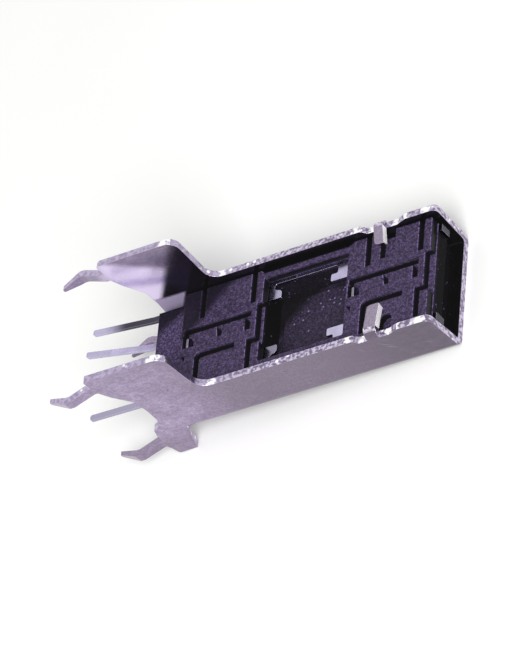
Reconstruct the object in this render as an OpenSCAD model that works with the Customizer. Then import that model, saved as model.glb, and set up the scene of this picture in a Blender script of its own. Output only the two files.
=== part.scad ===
// Board-mounted micro switch: a folded sheet-metal frame on snap-in legs,
// holding a moulded base, a slotted cover, four stamped terminals and a
// spring-loaded push plate at the bottom of the switch well.
// X runs from the board along the channel, Y across it, Z out of its open side.
// The origin is on the board face, midway between the walls, under the floor.

/* [Frame] */
// Length from the board face to the open end
frame_l = 27.5; // [24:0.5:36]
// Width over the walls, at the floor
frame_w = 10; // [9.6:0.2:14]
// Thickness of the sheet
sheet_t = 0.55; // [0.4:0.05:0.7]
// Outer radius of the floor bends
bend_r = 0.75; // [0.65:0.05:1.1]
// Height of the side walls
wall_h = 4.8; // [4.5:0.1:6]
// Outward lean of the side walls, in degrees
wall_lean = 3.6; // [0:0.2:5]
// Distance from the board face to the front edge of the floor
floor_x = 3; // [2.8:0.1:3.6]
// Radius of the corners at the open end
end_r = 0.5; // [0.2:0.1:1]

/* [Board flanges and legs] */
// Height of the flange tops above the floor
flange_h = 9.93; // [9.5:0.1:12]
// Length of the flange along the channel
flange_l = 7.14; // [6:0.1:9]
// Radius of the upper flange corner
flange_r = 0.9; // [0.3:0.1:1.5]
// Radius where the flange runs into the wall top
fillet_r = 1.1; // [0.3:0.1:1.5]
// Depth of the relief cut between the two legs
relief_d = 1.7; // [1.5:0.05:2]
// Height of the shoulder over the lower leg
shoulder_z = 1.2; // [0.8:0.05:1.6]
// How far the foot reaches below the floor
foot_drop = 2.55; // [2:0.05:3.5]
// Length of the legs beyond the board face
leg_l = 4.2; // [3:0.05:5]
// Height of a leg at its root
leg_h = 0.85; // [0.7:0.05:1.2]
// Outward throw of the snap kink
kink = 0.62; // [0.3:0.02:0.8]
// Thickness of a leg's coined tip
tip_t = 0.35; // [0.2:0.05:0.4]
// Distance from the flange top down to the upper leg
leg_top_gap = 1.05; // [0.6:0.05:1.6]
// Distance from the frame's underside down to the lower leg
leg_low_gap = 0.45; // [0.2:0.05:0.8]

/* [Hold-down tabs] */
// Width of the near tab
tab_w = 1.05; // [0.9:0.05:1.8]
// Width of the far tab, which ends level with the near one
far_tab_w = 0.8; // [0.6:0.05:1.8]
// Inside bend radius of a tab
tab_r = 0.1; // [0.1:0.05:0.3]
// Reach of the near tab over the cover
near_reach = 2.3; // [1.2:0.1:2.6]
// Reach of the far tab over the cover
far_reach = 1.45; // [1.2:0.05:2.6]
// Start of the near tab, from the left edge of the right-hand block
tab_x = 2.45; // [2.2:0.05:2.8]
// Length of the notch in the wall top
notch_l = 3.6; // [3.2:0.1:4.2]
// Height of the notch above the cover
notch_rise = 0.25; // [0.2:0.01:0.35]
// Step down of the wall top beyond the notch
end_step = 0.12; // [0:0.02:0.2]

/* [Moulded base] */
// Start of the header, from the board face
header_x = 1.5; // [1.3:0.1:2]
// Side step of the header, narrower than the base
header_inset = 0.22; // [0.1:0.02:0.25]
// Height of the base top above the frame's underside
base_z = 3.4; // [3:0.05:3.5]
// Depth of the moulding over the terminals
skin = 0.1; // [0.06:0.02:0.2]
// Recess of the base behind the open end of the frame
end_gap = 0.5; // [0.3:0.05:1]
// Height of the recess under the base's open end
end_recess_z = 2.15; // [1.2:0.05:2.6]
// Depth of that recess
end_recess_d = 0.7; // [0.3:0.05:1]
// Clearance between the base and the walls
side_gap = 0.1; // [0.05:0.05:0.2]

/* [Slotted cover] */
// Start of the cover, from the board face
cover_x = 4.4; // [4.2:0.1:5]
// Thickness of the cover
cover_t = 0.7; // [0.5:0.05:0.8]
// Length of each of the two slotted blocks
block_l = 7.4; // [7.35:0.05:8]
// Width of the slots
slot_w = 0.5; // [0.4:0.02:0.56]
// Width of the ribs beside the window
rib_w = 0.43; // [0.35:0.02:0.6]
// Step of the cover's edge along the window
rib_step = 0.3; // [0.1:0.05:0.4]
// Radius of the pockets beside the tabs
pocket_r = 0.56; // [0.4:0.02:0.6]

/* [Switch well and push plate] */
// Length of the rim between the blocks and the well, at the open end
well_rim = 0.55; // [0.4:0.05:0.8]
// Width of the ledge at each side of the well that carries the terminals
ledge_w = 0.28; // [0.24:0.02:0.5]
// Depth of the undercut that traps the push plate
undercut = 0.4; // [0.3:0.05:0.5]
// Height of the undercut's ceiling above the floor's upper face
undercut_z = 0.75; // [0.7:0.05:0.9]
// Thickness of the plate's skirt
skirt_t = 0.2; // [0.15:0.05:0.25]
// Thickness of the plate over its raised middle
plate_t = 0.6; // [0.4:0.05:0.9]
// Running clearance round the plate
plate_gap = 0.12; // [0.1:0.01:0.2]
// Length of the gap between the raised middle and the well's end
boss_gap = 0.65; // [0.3:0.05:1]
// Travel of the push plate
travel = 0.3; // [0.2:0.05:0.3]
// Thickness of the snap spring
spring_t = 0.08; // [0.05:0.01:0.1]
// Distance from the well's ends to the spring's long arm
spring_inset = 1.17; // [0.6:0.01:1.4]
// Distance from the well's sides to the spring's cross arm
spring_side = 1.37; // [0.6:0.01:1.6]
// Width of the spring's arms
spring_w = 1.8; // [1:0.1:2.4]

/* [Contact blades] */
// Length of a blade
blade_l = 1; // [0.6:0.1:1.1]
// Thickness of a blade
blade_t = 0.2; // [0.1:0.02:0.3]
// Place of a blade, from the left edge of its block
blade_u = 0.45; // [0.3:0.05:0.6]
// How deep a blade's foot is let into the base
blade_depth = 0.6; // [0.3:0.1:1.5]
// Recess of a blade's top below the cover
blade_recess = 0.1; // [0:0.05:0.3]

/* [Terminals] */
// Pitch of the solder pins
pin_pitch = 2.54; // [2.5:0.02:2.6]
// Width of a pin
pin_w = 0.5; // [0.4:0.05:0.6]
// Width of the tail that each outer terminal turns down at the open end
tail_w = 0.55; // [0.4:0.05:0.6]
// Thickness of the terminal strip
pin_t = 0.25; // [0.2:0.01:0.3]
// Length of the pins beyond the board face
pin_l = 4.45; // [3:0.05:6]
// Bevel on the sides of a pin's tip
tip_bevel = 0.12; // [0.05:0.01:0.18]
// How much shorter the outer pin on the near side is
pin_short = 0.25; // [0:0.05:0.5]
// Height of the tail that each outer terminal turns down at the open end
tail_h = 1.05; // [0.5:0.05:1.2]
// Reach of the contact tongues over the well
tongue_l = 1.5; // [1:0.05:1.8]
// How much shorter the inner terminals' tongues are
tongue_short = 0.15; // [0:0.05:0.3]
// Width of a contact tongue
tongue_w = 0.65; // [0.4:0.05:0.7]
// Distance of the tongues' inner edges from the centre line
tongue_y = 2.15; // [1.9:0.05:2.3]
// Gap between the two strips that share a side of the well
strip_gap = 0.15; // [0.1:0.05:0.3]
// Distance of that gap from the middle of the well
strip_cut = 1.1; // [0.6:0.1:1.4]
// How far the outer terminals' cross bars lie beyond the well's end
strip_inset = 0.35; // [0.2:0.05:0.5]
// How far an outer strip reaches past the window, under the cover
strip_grip = 0.47; // [0.3:0.01:0.5]

/* [Hidden] */

fine = 48;
fit = 0.03;                                  // gap of parts that are pressed or moulded in
half_w = frame_w / 2;
bend_in = bend_r - sheet_t;
bend_y = half_w - bend_r;                    // centre line of a floor bend
base_half = half_w - sheet_t - side_gap;
cover_z = base_z + cover_t;
wall_in = bend_y + bend_in * cos(wall_lean) + (base_z - bend_r) * sin(wall_lean);
cover_half = wall_in - side_gap;
base_x1 = frame_l - end_gap;
cover_x1 = base_x1 - 0.1;
left_x = cover_x;                            // left edges of the two blocks
right_x = cover_x1 - block_l;
window_x0 = left_x + block_l;
window_x1 = right_x;
window_y = cover_half - rib_step - rib_w;    // inner edge of the ribs
well_x0 = window_x0 - 0.2;
well_x1 = window_x1 - well_rim;
notch_x0 = right_x + 1.35;
notch_x1 = notch_x0 + notch_l;
notch_z = cover_z + notch_rise;
end_z = wall_h - end_step;
leg_top = flange_h - leg_top_gap;
blade_z = base_z - blade_depth;
leg_low_top = -leg_low_gap;
relief_top = leg_top - leg_h - 2.5;          // where the relief turns out to the upper leg
relief_mid = (shoulder_z + relief_top) / 2 + 0.6;
well_y = window_y - ledge_w;
spring_l = well_x1 - well_x0 - 2 * spring_inset;
well_mid = (well_x0 + well_x1) / 2;
plate_z = sheet_t + undercut_z - plate_gap - skirt_t;  // underside of the plate at rest
pin_z = base_z - skin - pin_t;               // underside of the terminal strips
seat_out = window_y + strip_grip;            // outer edge of the outer terminals' strips

// ---- rounded outlines: each corner is [x, y, radius] ----

function unit(v) = v / norm(v);

function corner(p, q, s, r, n) = r == 0 ? [q] :
    let (
        a = unit(p - q),
        b = unit(s - q),
        half = acos(a * b) / 2,
        t = r / tan(half),
        c = q + unit(a + b) * r / sin(half),
        from = q + a * t - c,
        to = q + b * t - c,
        start = atan2(from.y, from.x),
        raw = atan2(to.y, to.x) - start,
        turn = raw > 180 ? raw - 360 : raw < -180 ? raw + 360 : raw
    )
    [for (i = [0:n]) c + r * [cos(start + turn * i / n), sin(start + turn * i / n)]];

function rounded(list, n = 5) =
    let (m = len(list))
    [for (i = [0:m - 1])
        let (
            p = list[(i + m - 1) % m],
            q = list[i],
            s = list[(i + 1) % m]
        )
        each corner([p.x, p.y], [q.x, q.y], [s.x, s.y], q.z, n)];

function arc(r, a0, a1, n = 12) =
    [for (i = [0:n]) r * [cos(a0 + (a1 - a0) * i / n), sin(a0 + (a1 - a0) * i / n)]];

// ---- small builders ----

// An outline in X and Z, extruded along Y from y = 0 to y = depth
module side_plate(points, depth) {
    translate([0, depth, 0])
        rotate([90, 0, 0])
            linear_extrude(depth)
                polygon(points);
}

// An outline in Y and Z, extruded along X from x = 0 to x = length
module along_x(length) {
    rotate([90, 0, 90])
        linear_extrude(length)
            children();
}

// A box between two opposite corners
module block(low, high) {
    translate(low)
        cube(high - low);
}

// Puts a far-side part at the far wall's bend, leaning with the wall
module on_wall() {
    translate([0, bend_y, bend_r])
        rotate([-wall_lean, 0, 0])
            children();
}

// ---- frame ----

// Outline of a side plate, in X and the height above the bend's centre
function wall_outline() =
    let (z = -bend_r)
    rounded([
        [-0.1, flange_h + z, 0.2],
        [flange_l, flange_h + z, flange_r],
        [flange_l, wall_h + z, fillet_r],
        [notch_x0, wall_h + z, 0.3],
        [notch_x0 + 0.4, notch_z + z, 0.3],
        [notch_x1 - 0.6, notch_z + z, 0.2],
        [notch_x1 + 0.3, end_z + z, 0.3],
        [frame_l, end_z + z, end_r],
        [frame_l, 0, 0],
        [floor_x, 0, 0],
        [floor_x - 0.1, z, 0.3],
        [floor_x - 0.5, z - 0.8, 0.5],
        [floor_x - 1.1, z - foot_drop, 0.1],
        [0.2, z - foot_drop - 0.05, 0.15],
        [0.02, z + leg_low_top - leg_h - 0.4, 0.3],
        [-0.15, z + leg_low_top - leg_h, 0],
        [-0.15, z + leg_low_top - 0.1, 0],
        [0, z + leg_low_top, 0.05],
        [0.1, z + shoulder_z - 0.9, 0.2],
        [0.4, z + shoulder_z, 0.2],
        [relief_d - 0.35, z + shoulder_z + 0.55, 0.3],
        [relief_d - 0.1, z + shoulder_z + 1.4, 0.8],
        [relief_d, z + relief_mid, 0.8],
        [relief_d - 0.1, z + relief_top, 0.8],
        [0.5, z + leg_top - leg_h - 1, 0.5],
        [0, z + leg_top - leg_h, 0.3]
    ]);

// One snap leg: a strip kinked in plan, thinned at its tip and cut to a tapered
// side outline below top
module leg(top) {
    y0 = bend_in;
    thin = (sheet_t - tip_t) / 2;
    // along the leg: [x, how far out, how much thinner on each face]
    kinked = [
        [0.6, 0, 0],
        [-0.3, 0, 0],
        [-0.5 * leg_l, kink, 0],
        [-0.6 * leg_l, kink, 0],
        [-leg_l, 0, thin]
    ];
    strip = concat(
        [for (p = kinked) [p.x, y0 + p.y + p.z]],
        [for (i = [len(kinked) - 1:-1:0])
            let (p = kinked[i])
            [p.x, y0 + p.y + sheet_t - p.z]]
    );
    tapered = rounded([
        [0.6, top, 0],
        [-leg_l + 1.5, top - 0.05, 0.5],
        [-leg_l, top - leg_h * 0.4, 0.1],
        [-leg_l, top - leg_h * 0.75, 0.1],
        [-leg_l + 1.4, top - leg_h, 0.5],
        [0.6, top - leg_h, 0]
    ]);
    intersection() {
        translate([0, 0, top - 2 * leg_h])
            linear_extrude(3 * leg_h)
                polygon(strip);
        translate([0, y0 - kink, 0])
            side_plate(tapered, 3 * kink + sheet_t);
    }
}

// A tab bent from the wall's notch down onto the cover; reach is its length
module tab(reach, width) {
    bend_z = bend_r + (notch_z - bend_r) * cos(wall_lean) - (bend_in - tab_r) * sin(wall_lean);
    rise = bend_z + tab_r - cover_z - fit;
    drop = asin(rise / (reach - tab_r));
    a = 90 + wall_lean + drop;
    length = reach - tab_r;
    translate([0, bend_in - tab_r, notch_z - bend_r]) {
        along_x(width) {
            polygon(concat(arc(tab_r, a, 0), arc(tab_r + sheet_t, 0, a)));
            translate([tab_r, -0.2])
                square([sheet_t, 0.2]);
        }
        rotate([a, 0, 0])
            translate([0, tab_r, 0])
                side_plate(rounded([
                    [0, 0, 0],
                    [width, 0, 0],
                    [width, length, 0.12],
                    [0, length, 0.3]
                ]), sheet_t);
    }
}

module wall_side(reach, width) {
    on_wall() {
        translate([0, bend_in, 0])
            side_plate(wall_outline(), sheet_t);
        leg(leg_top - bend_r);
        leg(leg_low_top - bend_r);
        translate([right_x + tab_x + tab_w - width, 0, 0])
            tab(reach, width);
    }
    translate([floor_x, bend_y, bend_r])
        along_x(frame_l - floor_x)
            polygon(concat(arc(bend_in, -wall_lean, -90), arc(bend_r, -90, -wall_lean)));
}

module frame() {
    color("#c9c2d2") {
        block([floor_x, -bend_y, 0], [frame_l, bend_y, sheet_t]);
        wall_side(far_reach, far_tab_w);
        mirror([0, 1, 0])
            wall_side(near_reach, tab_w);
    }
}

// ---- moulded base ----

module base() {
    color("#3a3147")
        difference() {
            block([header_x, -base_half, sheet_t], [base_x1, base_half, base_z]);
            // narrower header in front of the cover
            for (s = [0, 1])
                mirror([0, s, 0])
                    block([header_x - 1, base_half - header_inset, 0],
                        [cover_x, base_half + 1, base_z + 1]);
            // recess under the open end
            block([base_x1 - end_recess_d, -base_half - 1, 0],
                [base_x1 + 1, base_half + 1, end_recess_z]);
            // corners of the block clear the floor bends
            for (s = [-1, 1])
                translate([floor_x - 1, s * base_half, sheet_t])
                    rotate([45, 0, 0])
                        translate([0, -0.35, -0.35])
                            cube([frame_l, 0.7, 0.7]);
            // switch well, with the undercut that traps the push plate
            block([well_x0, -well_y, 0], [well_x1, well_y, base_z + 1]);
            block([well_x0 - undercut, -well_y - undercut, 0],
                [well_x1 + undercut, well_y + undercut, sheet_t + undercut_z]);
            // the window lays the terminals bare
            block([window_x0, -window_y, pin_z + pin_t], [window_x1, window_y, base_z + 1]);
            // seats of the terminals
            for (s = [0, 1])
                mirror([0, s, 0])
                    translate([0, 0, pin_z - fit])
                        linear_extrude(pin_t + 2 * fit) {
                            offset_strip(outer_path());
                            offset_strip(inner_path());
                        }
            // sockets of the blades
            for (x = [left_x, right_x])
                translate([x, 0, 0])
                    block([blade_u - fit, -blade_l / 2 - fit, blade_z - fit],
                        [blade_u + blade_t + fit, blade_l / 2 + fit, base_z + 1]);
        }
}

// ---- cover ----

// Slots of one block, in X from the block's left edge and Y from the centre line
module block_slots() {
    edge = cover_half + 1;
    // long channel with its three short branches
    block2([0.22, 0.6], [6.42, 0.6 + slot_w + 0.08]);
    block2([0.16, -0.55], [1.24, 0.65]);
    polygon([[3.27, 0.7], [4.07, 0.7], [3.78, -0.35], [3.42, -0.35]]);
    block2([6.42 - slot_w, -0.55], [6.42, 0.7]);
    // L-shaped channel
    polygon(rounded([
        [1.42, -1.25, slot_w],
        [5.12, -1.25, 0.05],
        [5.12, -1.25 - slot_w - 0.12, 0.05],
        [1.42 + slot_w, -1.25 - slot_w - 0.12, 0.2],
        [1.42 + slot_w, -cover_half + 0.3, 0.05],
        [1.42, -cover_half + 0.3, 0.05]
    ]));
    // slot open to the far edge, and the hole by the left edge
    block2([1.56, 1.85], [1.56 + slot_w, edge]);
    block2([-0.1, -1.85], [0.5, -1.2]);
    // slots that part the two end strips from the block
    block2([6.26, 1.8], [6.26 + slot_w, edge]);
    block2([6.2, -cover_half + 0.35], [6.2 + slot_w, -1.38]);
    block2([6.2, -2.02], [block_l + 1, -1.38]);
    // step in the end edge between the strips
    block2([6.95, -1.5], [block_l + 1, 1.62]);
}

module block2(low, high) {
    translate(low)
        square(high - low);
}

module cover() {
    color("#43384f")
        translate([0, 0, base_z])
            linear_extrude(cover_t)
                difference() {
                    polygon(rounded([
                        [left_x, -cover_half, 0.15],
                        [cover_x1, -cover_half, 0.15],
                        [cover_x1, cover_half, 0.15],
                        [right_x + 0.45, cover_half, 0.1],
                        [right_x, cover_half - rib_step, 0.1],
                        [window_x0, cover_half - rib_step, 0.1],
                        [window_x0 - 0.3, cover_half, 0.1],
                        [left_x, cover_half, 0.3]
                    ]));
                    // window, with its near rib set in like the far one
                    polygon(rounded([
                        [window_x0, -window_y, 0.15],
                        [window_x1, -window_y, 0.15],
                        [window_x1, window_y, 0.15],
                        [window_x0, window_y, 0.15]
                    ]));
                    for (x = [left_x, right_x])
                        translate([x, 0])
                            block_slots();
                    // pockets open to the edges, beside the hold-down tabs
                    translate([right_x + 3.62, 2.7]) {
                        circle(pocket_r, $fn = fine);
                        block2([-0.75, -pocket_r], [0, pocket_r]);
                        block2([-0.75, 0], [pocket_r, cover_half]);
                    }
                    translate([right_x + 3.75, -3.6]) {
                        circle(pocket_r, $fn = fine);
                        block2([-pocket_r, -cover_half], [pocket_r, 0]);
                    }
                }
}

// ---- terminals ----

// Centre line of a pin by its number of half pitches from the middle
function pin_y(n) = n * pin_pitch / 2;

// Plan of an outer terminal: [x, y, radius] corners from the header on
function outer_path() =
    let (
        y = pin_y(3),
        gap_x = well_mid - strip_cut,
        tip = well_x1 - tongue_l,
        root = tip + 0.6,
        end = well_x1 + strip_inset,
        tail = base_x1 + fit + pin_t
    )
    [
        [header_x - 0.6, y - pin_w / 2, 0],
        [left_x + 0.9, y - pin_w / 2, 0.2],
        [left_x + 1.5, window_y + fit, 0.2],
        [gap_x + strip_gap, window_y + fit, 0],
        [gap_x + strip_gap, well_y, 0],
        [root, well_y, 0.3],
        [root, tongue_y + tongue_w, 0.15],
        [tip, tongue_y + tongue_w, 0.1],
        [tip, tongue_y, 0.1],
        [end, tongue_y, 0],
        [end, seat_out - tail_w, 0.2],
        [tail, seat_out - tail_w, 0],
        [tail, seat_out, 0],
        [left_x + 0.9, seat_out, 0.2],
        [left_x + 0.3, y + pin_w / 2, 0.2],
        [header_x - 0.6, y + pin_w / 2, 0]
    ];

// Plan of an inner terminal
function inner_path() =
    let (
        y = pin_y(1),
        gap_x = well_mid - strip_cut,
        tip = well_x0 + tongue_l - tongue_short,
        root = tip - 0.7,
        spine = well_x0 - 1
    )
    [
        [header_x - 0.6, y - pin_w / 2, 0],
        [spine + 0.4, y - pin_w / 2, 0.2],
        [spine + 0.4, tongue_y, 0],
        [tip, tongue_y, 0.15],
        [tip, tongue_y + tongue_w, 0.3],
        [root, well_y - 0.45, 0.2],
        [root + 0.1, well_y, 0.1],
        [gap_x, well_y, 0],
        [gap_x, window_y - fit, 0],
        [spine, window_y - fit, 0.2],
        [spine, y + pin_w / 2, 0.2],
        [header_x - 0.6, y + pin_w / 2, 0]
    ];

// The seat of a terminal: its own plan, grown by the fit
module offset_strip(path) {
    offset(delta = fit)
        polygon(rounded(path));
}

// A pin from the header to its tip, bent up by the given angle at the header
module pin(y, bend, short = 0) {
    knee = header_x - 0.6;
    length = pin_l + knee - short;
    half_t = pin_t / 2;
    ahead = length * [-cos(bend), sin(bend)];
    up = half_t * [sin(bend), cos(bend)];
    mitre = half_t * [tan(bend / 2), 1];
    tip_w = pin_w - 2 * tip_bevel;
    intersection() {
        translate([knee, y - pin_w / 2, pin_z + half_t])
            side_plate([
                [0.2, half_t],
                mitre,
                ahead + up,
                ahead - up,
                -mitre,
                [0.2, -half_t]
            ], pin_w);
        // the tip narrows on both sides
        translate([knee + ahead.x, y, pin_z - pin_t])
            linear_extrude(length)
                polygon([
                    [-pin_t, -tip_w / 2],
                    [0, -tip_w / 2],
                    [tip_bevel, -pin_w / 2],
                    [length + 1, -pin_w / 2],
                    [length + 1, pin_w / 2],
                    [tip_bevel, pin_w / 2],
                    [0, tip_w / 2],
                    [-pin_t, tip_w / 2]
                ]);
    }
}

module terminal(path) {
    translate([0, 0, pin_z])
        linear_extrude(pin_t)
            polygon(rounded(path));
}

// The tail at the far end of an outer terminal, turned down outside the base
module tail() {
    block([base_x1 + fit, seat_out - tail_w, pin_z + pin_t - tail_h],
        [base_x1 + fit + pin_t, seat_out, pin_z + pin_t]);
}

module far_outer_terminal() {
    color("#d6cfe0") {
        terminal(outer_path());
        tail();
        pin(pin_y(3), 7);
    }
}

module far_inner_terminal() {
    color("#d6cfe0") {
        terminal(inner_path());
        pin(pin_y(1), 15);
    }
}

module near_inner_terminal() {
    color("#d6cfe0")
        mirror([0, 1, 0]) {
            terminal(inner_path());
            pin(pin_y(1), 2);
        }
}

module near_outer_terminal() {
    color("#d6cfe0")
        mirror([0, 1, 0]) {
            terminal(outer_path());
            tail();
            pin(pin_y(3), 1, pin_short);
        }
}

// A stamped blade that stands on edge in a block's slot
module blade(x) {
    top = cover_z - blade_recess;
    color("#d9d4de")
        translate([x + blade_u, -blade_l / 2, 0])
            rotate([90, 0, 90])
                linear_extrude(blade_t)
                    polygon(rounded([
                        [0, blade_z, 0],
                        [blade_l, blade_z, 0],
                        [blade_l, top, 0.2],
                        [0, top, 0.2]
                    ]));
}

module left_blade() {
    blade(left_x);
}

module right_blade() {
    blade(right_x);
}

// ---- push plate and spring ----

module push_plate() {
    x0 = well_x0 - undercut + plate_gap;
    x1 = well_x1 + undercut - plate_gap;
    y1 = well_y + undercut - plate_gap;
    bx0 = well_x0 + boss_gap;
    bx1 = well_x1 - boss_gap;
    by = well_y - boss_gap;
    color("#2a2433") {
        translate([0, 0, plate_z])
            linear_extrude(skirt_t)
                polygon(rounded([
                    [x0, -y1, 0.4],
                    [x1, -y1, 0.4],
                    [x1, y1, 0.4],
                    [x0, y1, 0.4]
                ]));
        translate([0, 0, plate_z])
            linear_extrude(plate_t)
                polygon(rounded([
                    [bx0, -by, 0.6],
                    [bx1, -by, 0.6],
                    [bx1, by, 0.6],
                    [bx0, by, 0.6]
                ]));
    }
}

// Arched cross-shaped leaf on the floor; it lifts the plate and flattens under it
module snap_spring() {
    rise = plate_z - sheet_t - spring_t - fit;
    r = (spring_l * spring_l / 4 + rise * rise) / (2 * rise);
    half = asin(spring_l / 2 / r);
    color("#cfc8bb")
        translate([well_mid, 0, sheet_t + rise - r])
            intersection() {
                rotate([90, 0, 0])
                    linear_extrude(spring_l, center = true)
                        polygon(concat(
                            arc(r + spring_t, 90 - half, 90 + half),
                            arc(r, 90 + half, 90 - half)
                        ));
                linear_extrude(2 * r)
                    union() {
                        square([spring_l + 1, spring_w], center = true);
                        square([spring_w, 2 * (well_y - spring_side)], center = true);
                    }
            }
}

frame();
base();
cover();
far_outer_terminal();
far_inner_terminal();
near_inner_terminal();
near_outer_terminal();
left_blade();
right_blade();
push_plate();
snap_spring();
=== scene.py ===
import math
from collections import namedtuple

import bmesh
import bpy
from mathutils import Matrix, Vector


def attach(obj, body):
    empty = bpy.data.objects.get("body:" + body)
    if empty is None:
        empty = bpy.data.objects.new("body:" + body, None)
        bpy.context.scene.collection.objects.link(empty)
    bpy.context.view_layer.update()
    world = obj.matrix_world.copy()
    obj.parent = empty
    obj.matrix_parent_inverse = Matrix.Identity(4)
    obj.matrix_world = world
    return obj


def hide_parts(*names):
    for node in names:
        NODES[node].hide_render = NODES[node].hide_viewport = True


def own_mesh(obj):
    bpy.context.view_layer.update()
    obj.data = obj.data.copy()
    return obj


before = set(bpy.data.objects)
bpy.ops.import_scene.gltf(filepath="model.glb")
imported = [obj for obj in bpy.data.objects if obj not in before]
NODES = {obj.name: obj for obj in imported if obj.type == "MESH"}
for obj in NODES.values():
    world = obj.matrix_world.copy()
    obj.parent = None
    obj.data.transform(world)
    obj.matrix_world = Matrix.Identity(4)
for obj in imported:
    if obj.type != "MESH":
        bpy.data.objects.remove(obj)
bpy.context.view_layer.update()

MM = 0.001
HOUSING = "housing"


def rgb(r, g, b):
    return (r, g, b, 1.0)        # linear, and opaque


def dimmed(tone, share):
    return rgb(*[c * share for c in tone[:3]])


# ---- places on the part ----

FOOT_Z = -2.6 * MM           # height where the feet touch the table
FOOT_X = 1.88 * MM           # where that is along the channel
END_X = 27.5 * MM            # where the channel's end touches the table

# The rest are in mm, and are where a finish changes. The first three follow the shape
# of the sheet. The others are judged places, near what they stand for and not exactly
# on it, and several of them set where painted glints and painted shade fall.
WALL_Y = (4.5, 4.62)         # inside of a side wall; what lies nearer the middle is a tab
TAB_Z = (3.9, 4.0)           # a tab is above this
FLOOR_TOP = (0.75, 0.80)     # above this, an edge that faces up is a cut one
TORN_FROM = (7.0, 12.0)      # along the channel, where the torn edges gain contrast

# painted glints on the cut top edges, as the distance along the channel and half the
# length: the flange's corner, the foot of its slope, both ends of the notch, the tab's
# roots and the corner at the open end
GLINT_PLACES = ((6.3, 0.40), (8.3, 0.34), (20.5, 0.24), (21.6, 0.28),
           (23.8, 0.30), (24.8, 0.18), (26.6, 0.38))

# a stretch of painted shade on a terminal: where it starts, where it is full, where it
# starts and ends to clear, and the share of the tone that is left
Stretch = namedtuple("Stretch", "start full clearing clear share")
TAIL = Stretch(26.6, 27.0, 28.0, 29.0, 0.12)
FAR_ROOT = Stretch(-3.4, -1.4, 4.0, 6.0, 0.12)
NEAR_PIN = Stretch(-6.0, -5.0, 3.0, 5.0, 0.70)
FAR_TONGUE = Stretch(6.0, 9.0, 16.0, 18.0, 0.82)
NEAR_TONGUE = Stretch(6.0, 9.0, 16.0, 18.0, 0.50)

# where a moulding's painted sheen rises to its full level, out of painted shade: the
# direction across its top, the two places along it, and the share of the sheen that is
# left before them
Lit = namedtuple("Lit", "along across start full least")

# ---- tones ----

WHITE = rgb(1.0, 1.0, 1.0)
GLINT = rgb(1.0, 0.98, 1.0)
SHEET = (rgb(0.405, 0.332, 0.490), rgb(0.475, 0.385, 0.570))
# painted shade: the sheet darker towards the bottom, on the far wall's inside and along the
# channel
SHEET_FEET_SHADE = rgb(0.270, 0.222, 0.280)
SHEET_INSIDE_SHADE = rgb(0.240, 0.200, 0.300)
SHEET_MIDDLE_SHADE = rgb(0.210, 0.174, 0.222)
SHEET_END_SHADE = rgb(0.105, 0.085, 0.112)
SHEET_MOTTLE = rgb(0.200, 0.164, 0.232)
SHEET_BLOTCH = rgb(0.190, 0.158, 0.215)
SHEET_FINE = rgb(0.130, 0.108, 0.150)
SHEET_TAB_LIGHT = rgb(0.37, 0.31, 0.42)
SHEET_BAND_REFLECTION = rgb(0.71, 0.62, 0.84)
SHEET_SHADE = rgb(0.06, 0.05, 0.07)
SHEET_SCRATCH = rgb(0.62, 0.58, 0.66)
SHEET_PIT = rgb(0.12, 0.10, 0.14)
SHEET_BESIDE_REFLECTION = rgb(0.50, 0.43, 0.60)
SHEET_EDGE_HIGHLIGHT = rgb(0.66, 0.60, 0.74)
TORN_LOW = (rgb(0.330, 0.275, 0.410), rgb(0.190, 0.152, 0.245))
TORN_HIGH = (rgb(0.480, 0.420, 0.580), rgb(0.600, 0.540, 0.690))
TIN_EDGE_HIGHLIGHT = rgb(0.85, 0.82, 0.90)
MOULD_DARK = rgb(0.004, 0.003, 0.006)
SHEEN_VIOLET = rgb(0.218, 0.157, 0.350)        # painted sheen of a moulding where it is strongest
MOULD_SHINE = rgb(0.75, 0.60, 1.0)
DUST_AND_SPARKLE = rgb(0.20, 0.20, 0.36)
GLOW_TONE = rgb(1.0, 0.96, 0.95)              # painted glow: a trace of emission that lifts the black


# ---- node helpers ----

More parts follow.
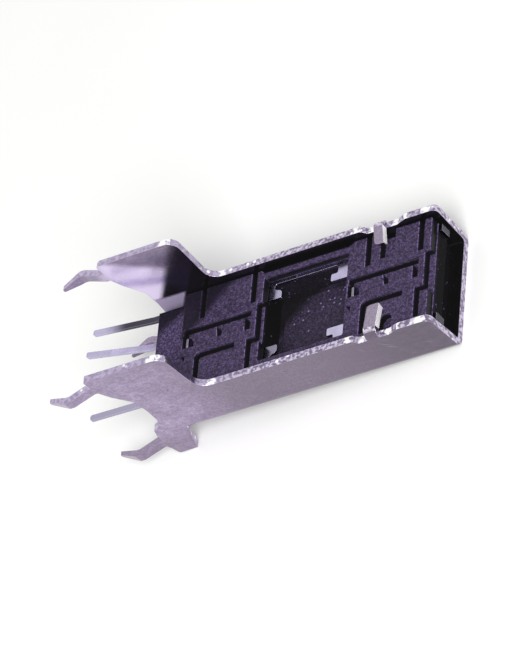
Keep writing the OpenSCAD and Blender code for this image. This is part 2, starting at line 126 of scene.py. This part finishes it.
class Shader:
    """A material's node tree, with short calls for the nodes that the finishes share."""

    def __init__(self, name):
        self.mat = bpy.data.materials.new(name)
        self.mat.use_nodes = True
        self.tree = self.mat.node_tree
        self.tree.nodes.clear()
        self.out = self.tree.nodes.new("ShaderNodeOutputMaterial")
        self.coord = self.tree.nodes.new("ShaderNodeTexCoord").outputs["Object"]

    def node(self, kind, **inputs):
        n = self.tree.nodes.new(kind)
        for key, value in inputs.items():
            self.put(n.inputs[key.replace("_", " ")], value)
        return n

    def put(self, socket, value):
        if isinstance(value, bpy.types.NodeSocket):
            self.tree.links.new(value, socket)
        else:
            socket.default_value = value

    # patterns

    def scaled(self, size, turn=(0, 0, 0)):
        """Object coordinates, turned and then divided by a size along each axis."""
        n = self.node("ShaderNodeMapping")
        n.vector_type = "TEXTURE"
        self.put(n.inputs["Vector"], self.coord)
        n.inputs["Rotation"].default_value = [math.radians(a) for a in turn]
        n.inputs["Scale"].default_value = size
        return n.outputs["Vector"]

    def noise(self, size, detail=2.0, stretch=(1, 1, 1), rough=0.5, turn=(0, 0, 0)):
        """Noise whose largest grain is about size metres, stretched along each axis."""
        n = self.node("ShaderNodeTexNoise", Scale=1.0, Detail=detail, Roughness=rough)
        self.put(n.inputs["Vector"], self.scaled([size * s for s in stretch], turn))
        return n.outputs["Fac"]

    def cells(self, size):
        """Distance to the nearest of scattered points, about size metres apart."""
        n = self.node("ShaderNodeTexVoronoi", Scale=1.0)
        n.feature = "F1"
        self.put(n.inputs["Vector"], self.scaled([size] * 3))
        return n.outputs["Distance"]

    # numbers

    def ramp(self, value, low, high, to_low=0.0, to_high=1.0, smooth=True):
        """to_low up to low and to_high from high on, with an even slope or a soft one."""
        n = self.node("ShaderNodeMapRange")
        n.interpolation_type = "SMOOTHSTEP" if smooth else "LINEAR"
        for key, v in (("Value", value), ("From Min", low), ("From Max", high),
                       ("To Min", to_low), ("To Max", to_high)):
            self.put(n.inputs[key], v)
        return n.outputs["Result"]

    def past(self, place, start, full):
        """0 up to start and 1 from full on, both in mm."""
        return self.ramp(place, start * MM, full * MM)

    def before(self, place, full, end):
        """1 up to full and 0 from end on, both in mm."""
        return self.ramp(place, full * MM, end * MM, 1.0, 0.0)

    def math(self, kind, a, b=0.0):
        n = self.node("ShaderNodeMath")
        n.operation = kind
        self.put(n.inputs[0], a)
        self.put(n.inputs[1], b)
        return n.outputs[0]

    def size_of(self, value):
        return self.math("ABSOLUTE", value)

    def times(self, first, *others):
        for other in others:
            first = self.math("MULTIPLY", first, other)
        return first

    def less(self, value, taken):
        return self.math("SUBTRACT", value, taken)

    def along(self, first, share, second, other_share):
        """A coordinate in a slanting direction, from two others and their shares."""
        return self.math("ADD", self.times(first, share), self.times(second, other_share))

    def mix(self, factor, a, b, kind="RGBA"):
        """a where the factor is 0 and b where it is 1."""
        n = self.node("ShaderNodeMix")
        n.data_type = kind
        for key, v in (("Factor", factor), ("A", a), ("B", b)):
            self.put(n.inputs[key], v)
        return n.outputs["Result"]

    def blend(self, factor, a, b):
        return self.mix(factor, a, b, "FLOAT")

    def coats(self, colour, *coats):
        """A colour with others laid over it in turn, each by its mask and strength."""
        for mask, strength, coat in coats:
            colour = self.mix(self.times(mask, strength), colour, coat)
        return colour

    # directions

    def xyz(self, vector):
        n = self.node("ShaderNodeSeparateXYZ")
        self.put(n.inputs[0], vector)
        return n.outputs

    def face(self):
        """The face's own direction, not smoothed."""
        return self.tree.nodes.new("ShaderNodeNewGeometry").outputs["True Normal"]

    def bump(self, height, strength, distance, under):
        n = self.node("ShaderNodeBump", Strength=strength, Distance=distance, Height=height)
        self.put(n.inputs["Normal"], under)
        return n.outputs["Normal"]

    def soft_edges(self, radius):
        n = self.node("ShaderNodeBevel", Radius=radius)
        n.samples = 6
        return n.outputs["Normal"]

    def edge_mask(self, soft):
        """1 along the edges that a softened normal turns, 0 on the flats."""
        n = self.tree.nodes.new("ShaderNodeVectorMath")
        n.operation = "DOT_PRODUCT"
        self.put(n.inputs[0], soft)
        self.put(n.inputs[1], self.face())
        return self.ramp(n.outputs["Value"], 0.88, 0.999, 1.0, 0.0)

    def finish(self, colour, roughness, normal, metallic=0.0, specular=0.5, tint=WHITE,
               painted_glow=0.0):
        n = self.node("ShaderNodeBsdfPrincipled", Base_Color=colour, Roughness=roughness,
                      Normal=normal)
        for key, v in (("Metallic", metallic), ("Specular IOR Level", specular),
                       ("Specular Tint", tint), ("Emission Color", GLOW_TONE),
                       ("Emission Strength", painted_glow)):
            n.inputs[key].default_value = v
        self.put(self.out.inputs["Surface"], n.outputs[0])
        return self.mat


# ---- finishes ----

def sheet_steel():
    """Satin rolled sheet, violet in the light, with paler cut edges, painted glints and
    highlights, and painted reflections and shade.
    """
    s = Shader("sheet_steel")
    x, y, z = s.xyz(s.coord)
    nx, ny = s.xyz(s.face())[:2]

    # a cut edge faces along or up the channel, never across it
    tab = s.times(s.before(s.size_of(y), *WALL_Y), s.past(z, *TAB_Z))
    across = s.ramp(s.size_of(ny), 0.45, 0.55)
    endways = s.ramp(s.size_of(nx), 0.5, 0.6)
    cut = s.times(s.less(1.0, across),
                  s.math("MAXIMUM", s.past(z, *FLOOR_TOP), endways),
                  s.less(1.0, tab))

    # patterns of the rolled faces, which run along the channel
    cloud = s.noise(3.0 * MM, 3, (1.8, 1, 1))
    mottle = s.noise(0.35 * MM, 3, (1.4, 1, 1))
    grain = s.noise(0.09 * MM, 3, (2, 1, 1))
    fine = s.noise(0.15 * MM, 2)
    blotch = s.noise(0.8 * MM, 2, (1.3, 1, 1))
    short_scratch = s.ramp(s.noise(0.08 * MM, 1, (26, 26, 1), turn=(0, 42, 0)), 0.72, 0.80)
    long_scratch = s.ramp(s.noise(0.06 * MM, 1, (50, 50, 1), turn=(0, 6, 0)), 0.74, 0.80)
    pits = s.ramp(s.cells(1.9 * MM), 0.035, 0.07, 1.0, 0.0)

    # the torn edges, whose painted glints have a ragged outline
    tears = s.noise(0.28 * MM, 3)
    ragged = s.math("ADD", x, s.times(s.less(s.noise(0.35 * MM, 2), 0.5), 1.4 * MM))
    placed_glints = 0.0
    for at, half in GLINT_PLACES:
        away = s.size_of(s.less(ragged, at * MM))
        placed_glints = s.math("MAXIMUM", placed_glints, s.before(away, half * 0.6, half * 1.3))
    placed_glints = s.times(placed_glints, s.ramp(s.noise(0.30 * MM, 2), 0.30, 0.44))
    glints = s.times(s.ramp(s.cells(0.55 * MM), 0.20, 0.34, 1.0, 0.0),
                     s.ramp(s.noise(1.9 * MM, 1), 0.50, 0.62))

    # judged patches on the far side: a pale band of painted reflection low on the flange, a
    # dark stretch of painted shade down the channel from it, and a pale painted reflection
    # beside the header
    inside = s.times(s.past(y, 4.0, 4.2), s.ramp(ny, -0.5, -0.6))
    shade = s.times(s.past(s.along(x, 1.0, z, -0.78), -1.5, -0.6), inside)
    band = s.times(s.before(s.along(x, 0.50, z, 0.87), 8.5, 9.3),
                   s.past(x, -1.2, 0.6),
                   s.less(inside, shade))
    beside = s.times(s.before(s.along(x, 1.0, z, -0.8), 0.9, 1.3),
                     s.before(z, 4.2, 4.6),
                     s.past(x, 1.0, 1.5),
                     inside)

    plain = s.coats(
        s.mix(s.ramp(cloud, 0.35, 0.65), *SHEET),
        # painted shade: darker towards the bottom, on the far wall's inside and along the
        # channel
        (s.before(z, -1.5, 1.0), 0.50, SHEET_FEET_SHADE),
        (inside, 0.45, SHEET_INSIDE_SHADE),
        (s.past(x, 3, 10), 0.85, SHEET_MIDDLE_SHADE),
        (s.past(x, 14, 27), 0.80, SHEET_END_SHADE),
        (s.ramp(mottle, 0.35, 0.70), 0.38, SHEET_MOTTLE),
        (s.ramp(blotch, 0.38, 0.62), 0.22, SHEET_BLOTCH),
        # painted light: the tabs' tops lighter than the walls around them
        (tab, 0.80, SHEET_TAB_LIGHT),
        (s.ramp(fine, 0.38, 0.62), 0.34, SHEET_FINE),
        # painted reflection and painted shade on the far side
        (band, 1.0, SHEET_BAND_REFLECTION),
        (shade, 0.75, SHEET_SHADE),
        (s.math("MAXIMUM", short_scratch, long_scratch), 0.40, SHEET_SCRATCH),
        (pits, 0.75, SHEET_PIT))
    channel = s.past(x, *TORN_FROM)
    torn = s.mix(s.ramp(tears, 0.40, 0.60), s.mix(channel, *TORN_LOW),
                 s.mix(channel, *TORN_HIGH))
    torn = s.mix(s.math("MAXIMUM", glints, placed_glints), torn, GLINT)

    # painted highlight: the tabs' sides that face the open end are white
    tab_side_highlight = s.times(tab, s.ramp(nx, 0.5, 0.8))
    edges = s.soft_edges(0.06 * MM)
    colour = s.coats(
        s.mix(cut, plain, torn),
        # painted reflection: the pale patch beside the header
        (beside, 1.0, SHEET_BESIDE_REFLECTION),
        (tab_side_highlight, 1.0, GLINT),
        # painted highlight along the softened edges
        (s.edge_mask(edges), 0.35, SHEET_EDGE_HIGHLIGHT))
    rough = s.blend(cut, s.ramp(grain, 0.3, 0.7, 0.12, 0.19), 0.30)
    rough = s.blend(s.math("MAXIMUM", tab_side_highlight, beside), rough, 0.75)
    rolled = s.bump(s.blend(0.5, grain, mottle), 0.08, 0.02 * MM, edges)
    burr = s.bump(tears, 0.6, 0.10 * MM, edges)
    return s.finish(colour, rough, s.mix(cut, rolled, burr, "VECTOR"),
                    metallic=1.0, painted_glow=0.005)


def tin_plate(name, tone, *shade_stretches):
    """Plated strip of the pins and tongues, a little streaked, with stretches of painted
    shade and painted edge highlights.
    """
    s = Shader(name)
    cloud = s.noise(0.9 * MM, 3)
    grain = s.noise(0.10 * MM, 2, (4, 1, 1))
    x = s.xyz(s.coord)[0]
    edges = s.soft_edges(0.04 * MM)
    colour = s.mix(s.ramp(cloud, 0.35, 0.65), dimmed(tone, 0.88), tone)
    for d in shade_stretches:
        there = s.times(s.past(x, d.start, d.full), s.before(x, d.clearing, d.clear))
        colour = s.mix(there, colour, dimmed(tone, d.share))
    # painted highlight along the softened edges
    colour = s.coats(colour, (s.edge_mask(edges), 0.45, TIN_EDGE_HIGHLIGHT))
    rough = s.ramp(grain, 0.3, 0.7, 0.18, 0.28)
    return s.finish(colour, rough, s.bump(grain, 0.12, 0.02 * MM, edges), metallic=1.0)


def moulding(name, dark, light, gloss, painted_sheen, lit, top, deep, dust_and_sparkle=0.0, edge=0.05):
    """Dark moulded plastic with a fine, mottled violet painted sheen and painted edge
    highlights.

    Below the top's height the painted sheen falls to the share that deep gives, and the
    colour darkens as painted shade. The top's height and the edges' width are in mm.
    """
    s = Shader(name)
    cloud = s.noise(1.4 * MM, 3)
    mottle = s.noise(0.26 * MM, 3, rough=0.6)
    grain = s.noise(0.12 * MM, 2)
    x, y, z = s.xyz(s.coord)
    nx, ny, nz = s.xyz(s.face())
    lit_part = s.past(s.along(x, lit.along, y, lit.across), lit.start, lit.full)
    on_top = s.past(z, top - 0.30, top - 0.12)
    edges = s.soft_edges(edge * MM)

    tone = s.ramp(s.blend(0.4, mottle, cloud), 0.38, 0.62)
    # painted highlight along the edges, broken up by the mottle
    edge_highlight = s.times(s.edge_mask(edges), s.ramp(mottle, 0.38, 0.55))
    colour = s.coats(
        s.mix(tone, dark, light),
        (edge_highlight, 0.7, dimmed(light, 5)),
        # painted shade: below the top's height the colour darkens to the share deep gives
        (s.less(1.0, on_top), 1.0, dimmed(dark, deep)))
    if dust_and_sparkle:
        # dust specks that also stand for painted sparkle, shown only in the painted lit part
        specks_and_sparkle = s.times(s.ramp(s.cells(0.42 * MM), 0.12, 0.24, dust_and_sparkle, 0.0),
                         s.ramp(s.noise(1.2 * MM, 1), 0.48, 0.60))
        colour = s.mix(s.times(specks_and_sparkle, lit_part), colour, DUST_AND_SPARKLE)

    # the painted sheen is strongest in a thin painted highlight on edges that turn to the
    # open end, and nearly gone on the face there, as painted shade
    turned = s.times(s.ramp(s.xyz(edges)[0], 0.03, 0.22), s.ramp(nz, 0.8, 0.95))
    lip = s.times(turned, s.ramp(mottle, 0.36, 0.50))
    sheen_level = s.times(s.ramp(mottle, 0.34, 0.68, painted_sheen * 0.55, painted_sheen * 1.45),
                   s.ramp(grain, 0.40, 0.64, 0.60, 1.80),
                   s.ramp(lip, 0.0, 1.0, 1.0, 4.5),
                   s.ramp(lit_part, 0.0, 1.0, lit.least, 1.0, smooth=False),
                   s.ramp(on_top, 0.0, 1.0, deep, 1.0, smooth=False),
                   s.ramp(nx, 0.5, 0.8, 1.0, 0.06))
    colour = s.coats(colour, (sheen_level, 1 / 6, SHEEN_VIOLET))
    rough = s.ramp(mottle, 0.35, 0.65, 0.28, 0.16)
    normal = s.bump(s.blend(0.5, mottle, grain), 0.35, 0.03 * MM, edges)
    return s.finish(colour, rough, normal, specular=gloss, tint=MOULD_SHINE, painted_glow=0.007)


FAR_TIN = rgb(0.50, 0.46, 0.64)
BLADE = tin_plate("blade_strip", rgb(0.24, 0.22, 0.27))
SPRING = tin_plate("spring_strip", rgb(0.40, 0.38, 0.35))

FINISHES = {
    "frame": sheet_steel(),
    "base": moulding(
        "base_moulding", MOULD_DARK, rgb(0.009, 0.006, 0.016), gloss=0.01, painted_sheen=1.60,
        lit=Lit(0.6, -1.0, start=-1.8, full=-0.5, least=0.04),
        top=3.4, deep=0.12, dust_and_sparkle=0.4, edge=0.07),
    "cover": moulding(
        "cover_moulding", MOULD_DARK, rgb(0.010, 0.006, 0.018), gloss=0.06, painted_sheen=1.05,
        lit=Lit(1.0, -1.0, start=3.7, full=5.1, least=0.03),
        top=4.1, deep=0.06, edge=0.16),
    "push_plate": moulding(
        "plate_moulding", rgb(0.003, 0.003, 0.003), rgb(0.008, 0.006, 0.011), gloss=0.05,
        painted_sheen=0.62, lit=Lit(1.0, -1.2, start=10.5, full=12.4, least=0.0),
        top=1.2, deep=1.0, dust_and_sparkle=0.9),
    "far_outer_terminal": tin_plate("tin_plate_far", FAR_TIN, TAIL, FAR_ROOT),
    "far_inner_terminal": tin_plate("tin_plate_far_inner", FAR_TIN, FAR_TONGUE),
    "near_inner_terminal": tin_plate(
        "tin_plate_near_inner", rgb(0.50, 0.46, 0.62), NEAR_TONGUE),
    "near_outer_terminal": tin_plate(
        "tin_plate", rgb(0.52, 0.48, 0.66), TAIL, NEAR_PIN),
    "left_blade": BLADE,
    "right_blade": BLADE,
}

for node, material in FINISHES.items():
    mesh = NODES[node].data
    mesh.materials.clear()
    mesh.materials.append(material)
    mesh.update()


# ---- the one piece that isn't a CAD node ----

def spring_leaf():
    """The spring under the push plate, which flattens as the plate is pressed; this copy is
    fixed to the housing and not flattened here.
    """
    mesh = NODES["snap_spring"].data.copy()
    mesh.name = "spring_leaf"
    shell = bmesh.new()
    shell.from_mesh(mesh)
    bmesh.ops.remove_doubles(shell, verts=shell.verts, dist=1e-7)
    shell.to_mesh(mesh)
    shell.free()
    mesh.materials.clear()
    mesh.materials.append(SPRING)
    leaf = bpy.data.objects.new("spring_leaf", mesh)
    bpy.context.collection.objects.link(leaf)
    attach(leaf, HOUSING)
    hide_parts("snap_spring")
    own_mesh(leaf)


# ---- table, light and camera ----

def table_top():
    """A pale table that the feet and the channel's open end stand on."""
    reach = 3.0                  # metres from the middle to each side
    gap = 0.02 * MM
    slope = math.atan2(-FOOT_Z, END_X - FOOT_X)
    mesh = bpy.data.meshes.new("table_top")
    corners = [(-reach, -reach, 0), (reach, -reach, 0), (reach, reach, 0), (-reach, reach, 0)]
    mesh.from_pydata(corners, [], [(0, 1, 2, 3)])
    mesh.transform(Matrix.Rotation(-slope, 4, "Y"))
    mesh.transform(Matrix.Translation((FOOT_X, 0, FOOT_Z - gap)))
    obj = bpy.data.objects.new("table_top", mesh)
    bpy.context.collection.objects.link(obj)
    s = Shader("pale_table")
    paper = s.ramp(s.noise(40 * MM, 2), 0.3, 0.7, 0.90, 0.93)
    tone = s.node("ShaderNodeCombineColor", Red=paper, Green=paper, Blue=s.times(paper, 0.99))
    matt = s.node("ShaderNodeBsdfDiffuse", Color=tone.outputs[0])
    s.put(s.out.inputs["Surface"], matt.outputs[0])
    mesh.materials.append(s.mat)


def lamp(name, toward, distance, size, power):
    """A soft square lamp that shines on the part from the given direction."""
    data = bpy.data.lights.new(name, "AREA")
    data.shape = "SQUARE"
    data.size = size
    data.energy = power
    obj = bpy.data.objects.new(name, data)
    direction = Vector(toward).normalized()
    middle = Vector((14 * MM, 0, 3 * MM))
    obj.location = middle + direction * distance
    obj.rotation_mode = "QUATERNION"
    obj.rotation_quaternion = direction.to_track_quat("Z", "Y")
    bpy.context.collection.objects.link(obj)


def studio():
    """A white tent with one large lamp above the camera."""
    tent_light = 0.56            # strength that lights the part
    tent_seen = 1.05             # strength that the camera and reflections see
    world = bpy.data.worlds.new("white_tent")
    world.use_nodes = True
    tree = world.node_tree
    tree.nodes.clear()
    out = tree.nodes.new("ShaderNodeOutputWorld")
    path = tree.nodes.new("ShaderNodeLightPath")
    seen = tree.nodes.new("ShaderNodeMath")
    seen.operation = "MAXIMUM"
    tree.links.new(path.outputs["Is Camera Ray"], seen.inputs[0])
    tree.links.new(path.outputs["Is Glossy Ray"], seen.inputs[1])
    level = tree.nodes.new("ShaderNodeMapRange")
    level.inputs["To Min"].default_value = tent_light
    level.inputs["To Max"].default_value = tent_seen
    tree.links.new(seen.outputs[0], level.inputs["Value"])
    back = tree.nodes.new("ShaderNodeBackground")
    back.inputs["Color"].default_value = WHITE
    tree.links.new(level.outputs["Result"], back.inputs["Strength"])
    tree.links.new(back.outputs[0], out.inputs["Surface"])
    bpy.context.scene.world = world
    lamp("softbox", toward=(0.40, -0.60, 0.70), distance=0.60, size=0.32, power=3.8)
    bpy.context.scene.view_settings.view_transform = "Standard"


def camera():
    """A long lens aimed at the part, from its angles in degrees and its distance."""
    around, above, roll = [math.radians(a) for a in (42.06, 41.75, -48.27)]
    aim = Vector((8.40, 2.75, 0.0)) * MM
    distance = 369.4 * MM
    data = bpy.data.cameras.new("camera")
    data.sensor_width = 36.0
    data.lens = 263.8
    data.clip_start = 0.02
    data.clip_end = 20
    obj = bpy.data.objects.new("camera", data)
    obj.matrix_world = (Matrix.Translation(aim)
                        @ Matrix.Rotation(around, 4, "Z")
                        @ Matrix.Rotation(math.pi / 2 - above, 4, "X")
                        @ Matrix.Rotation(roll, 4, "Z")
                        @ Matrix.Translation((0, 0, distance)))
    bpy.context.collection.objects.link(obj)
    bpy.context.scene.camera = obj


spring_leaf()
table_top()
studio()
camera()
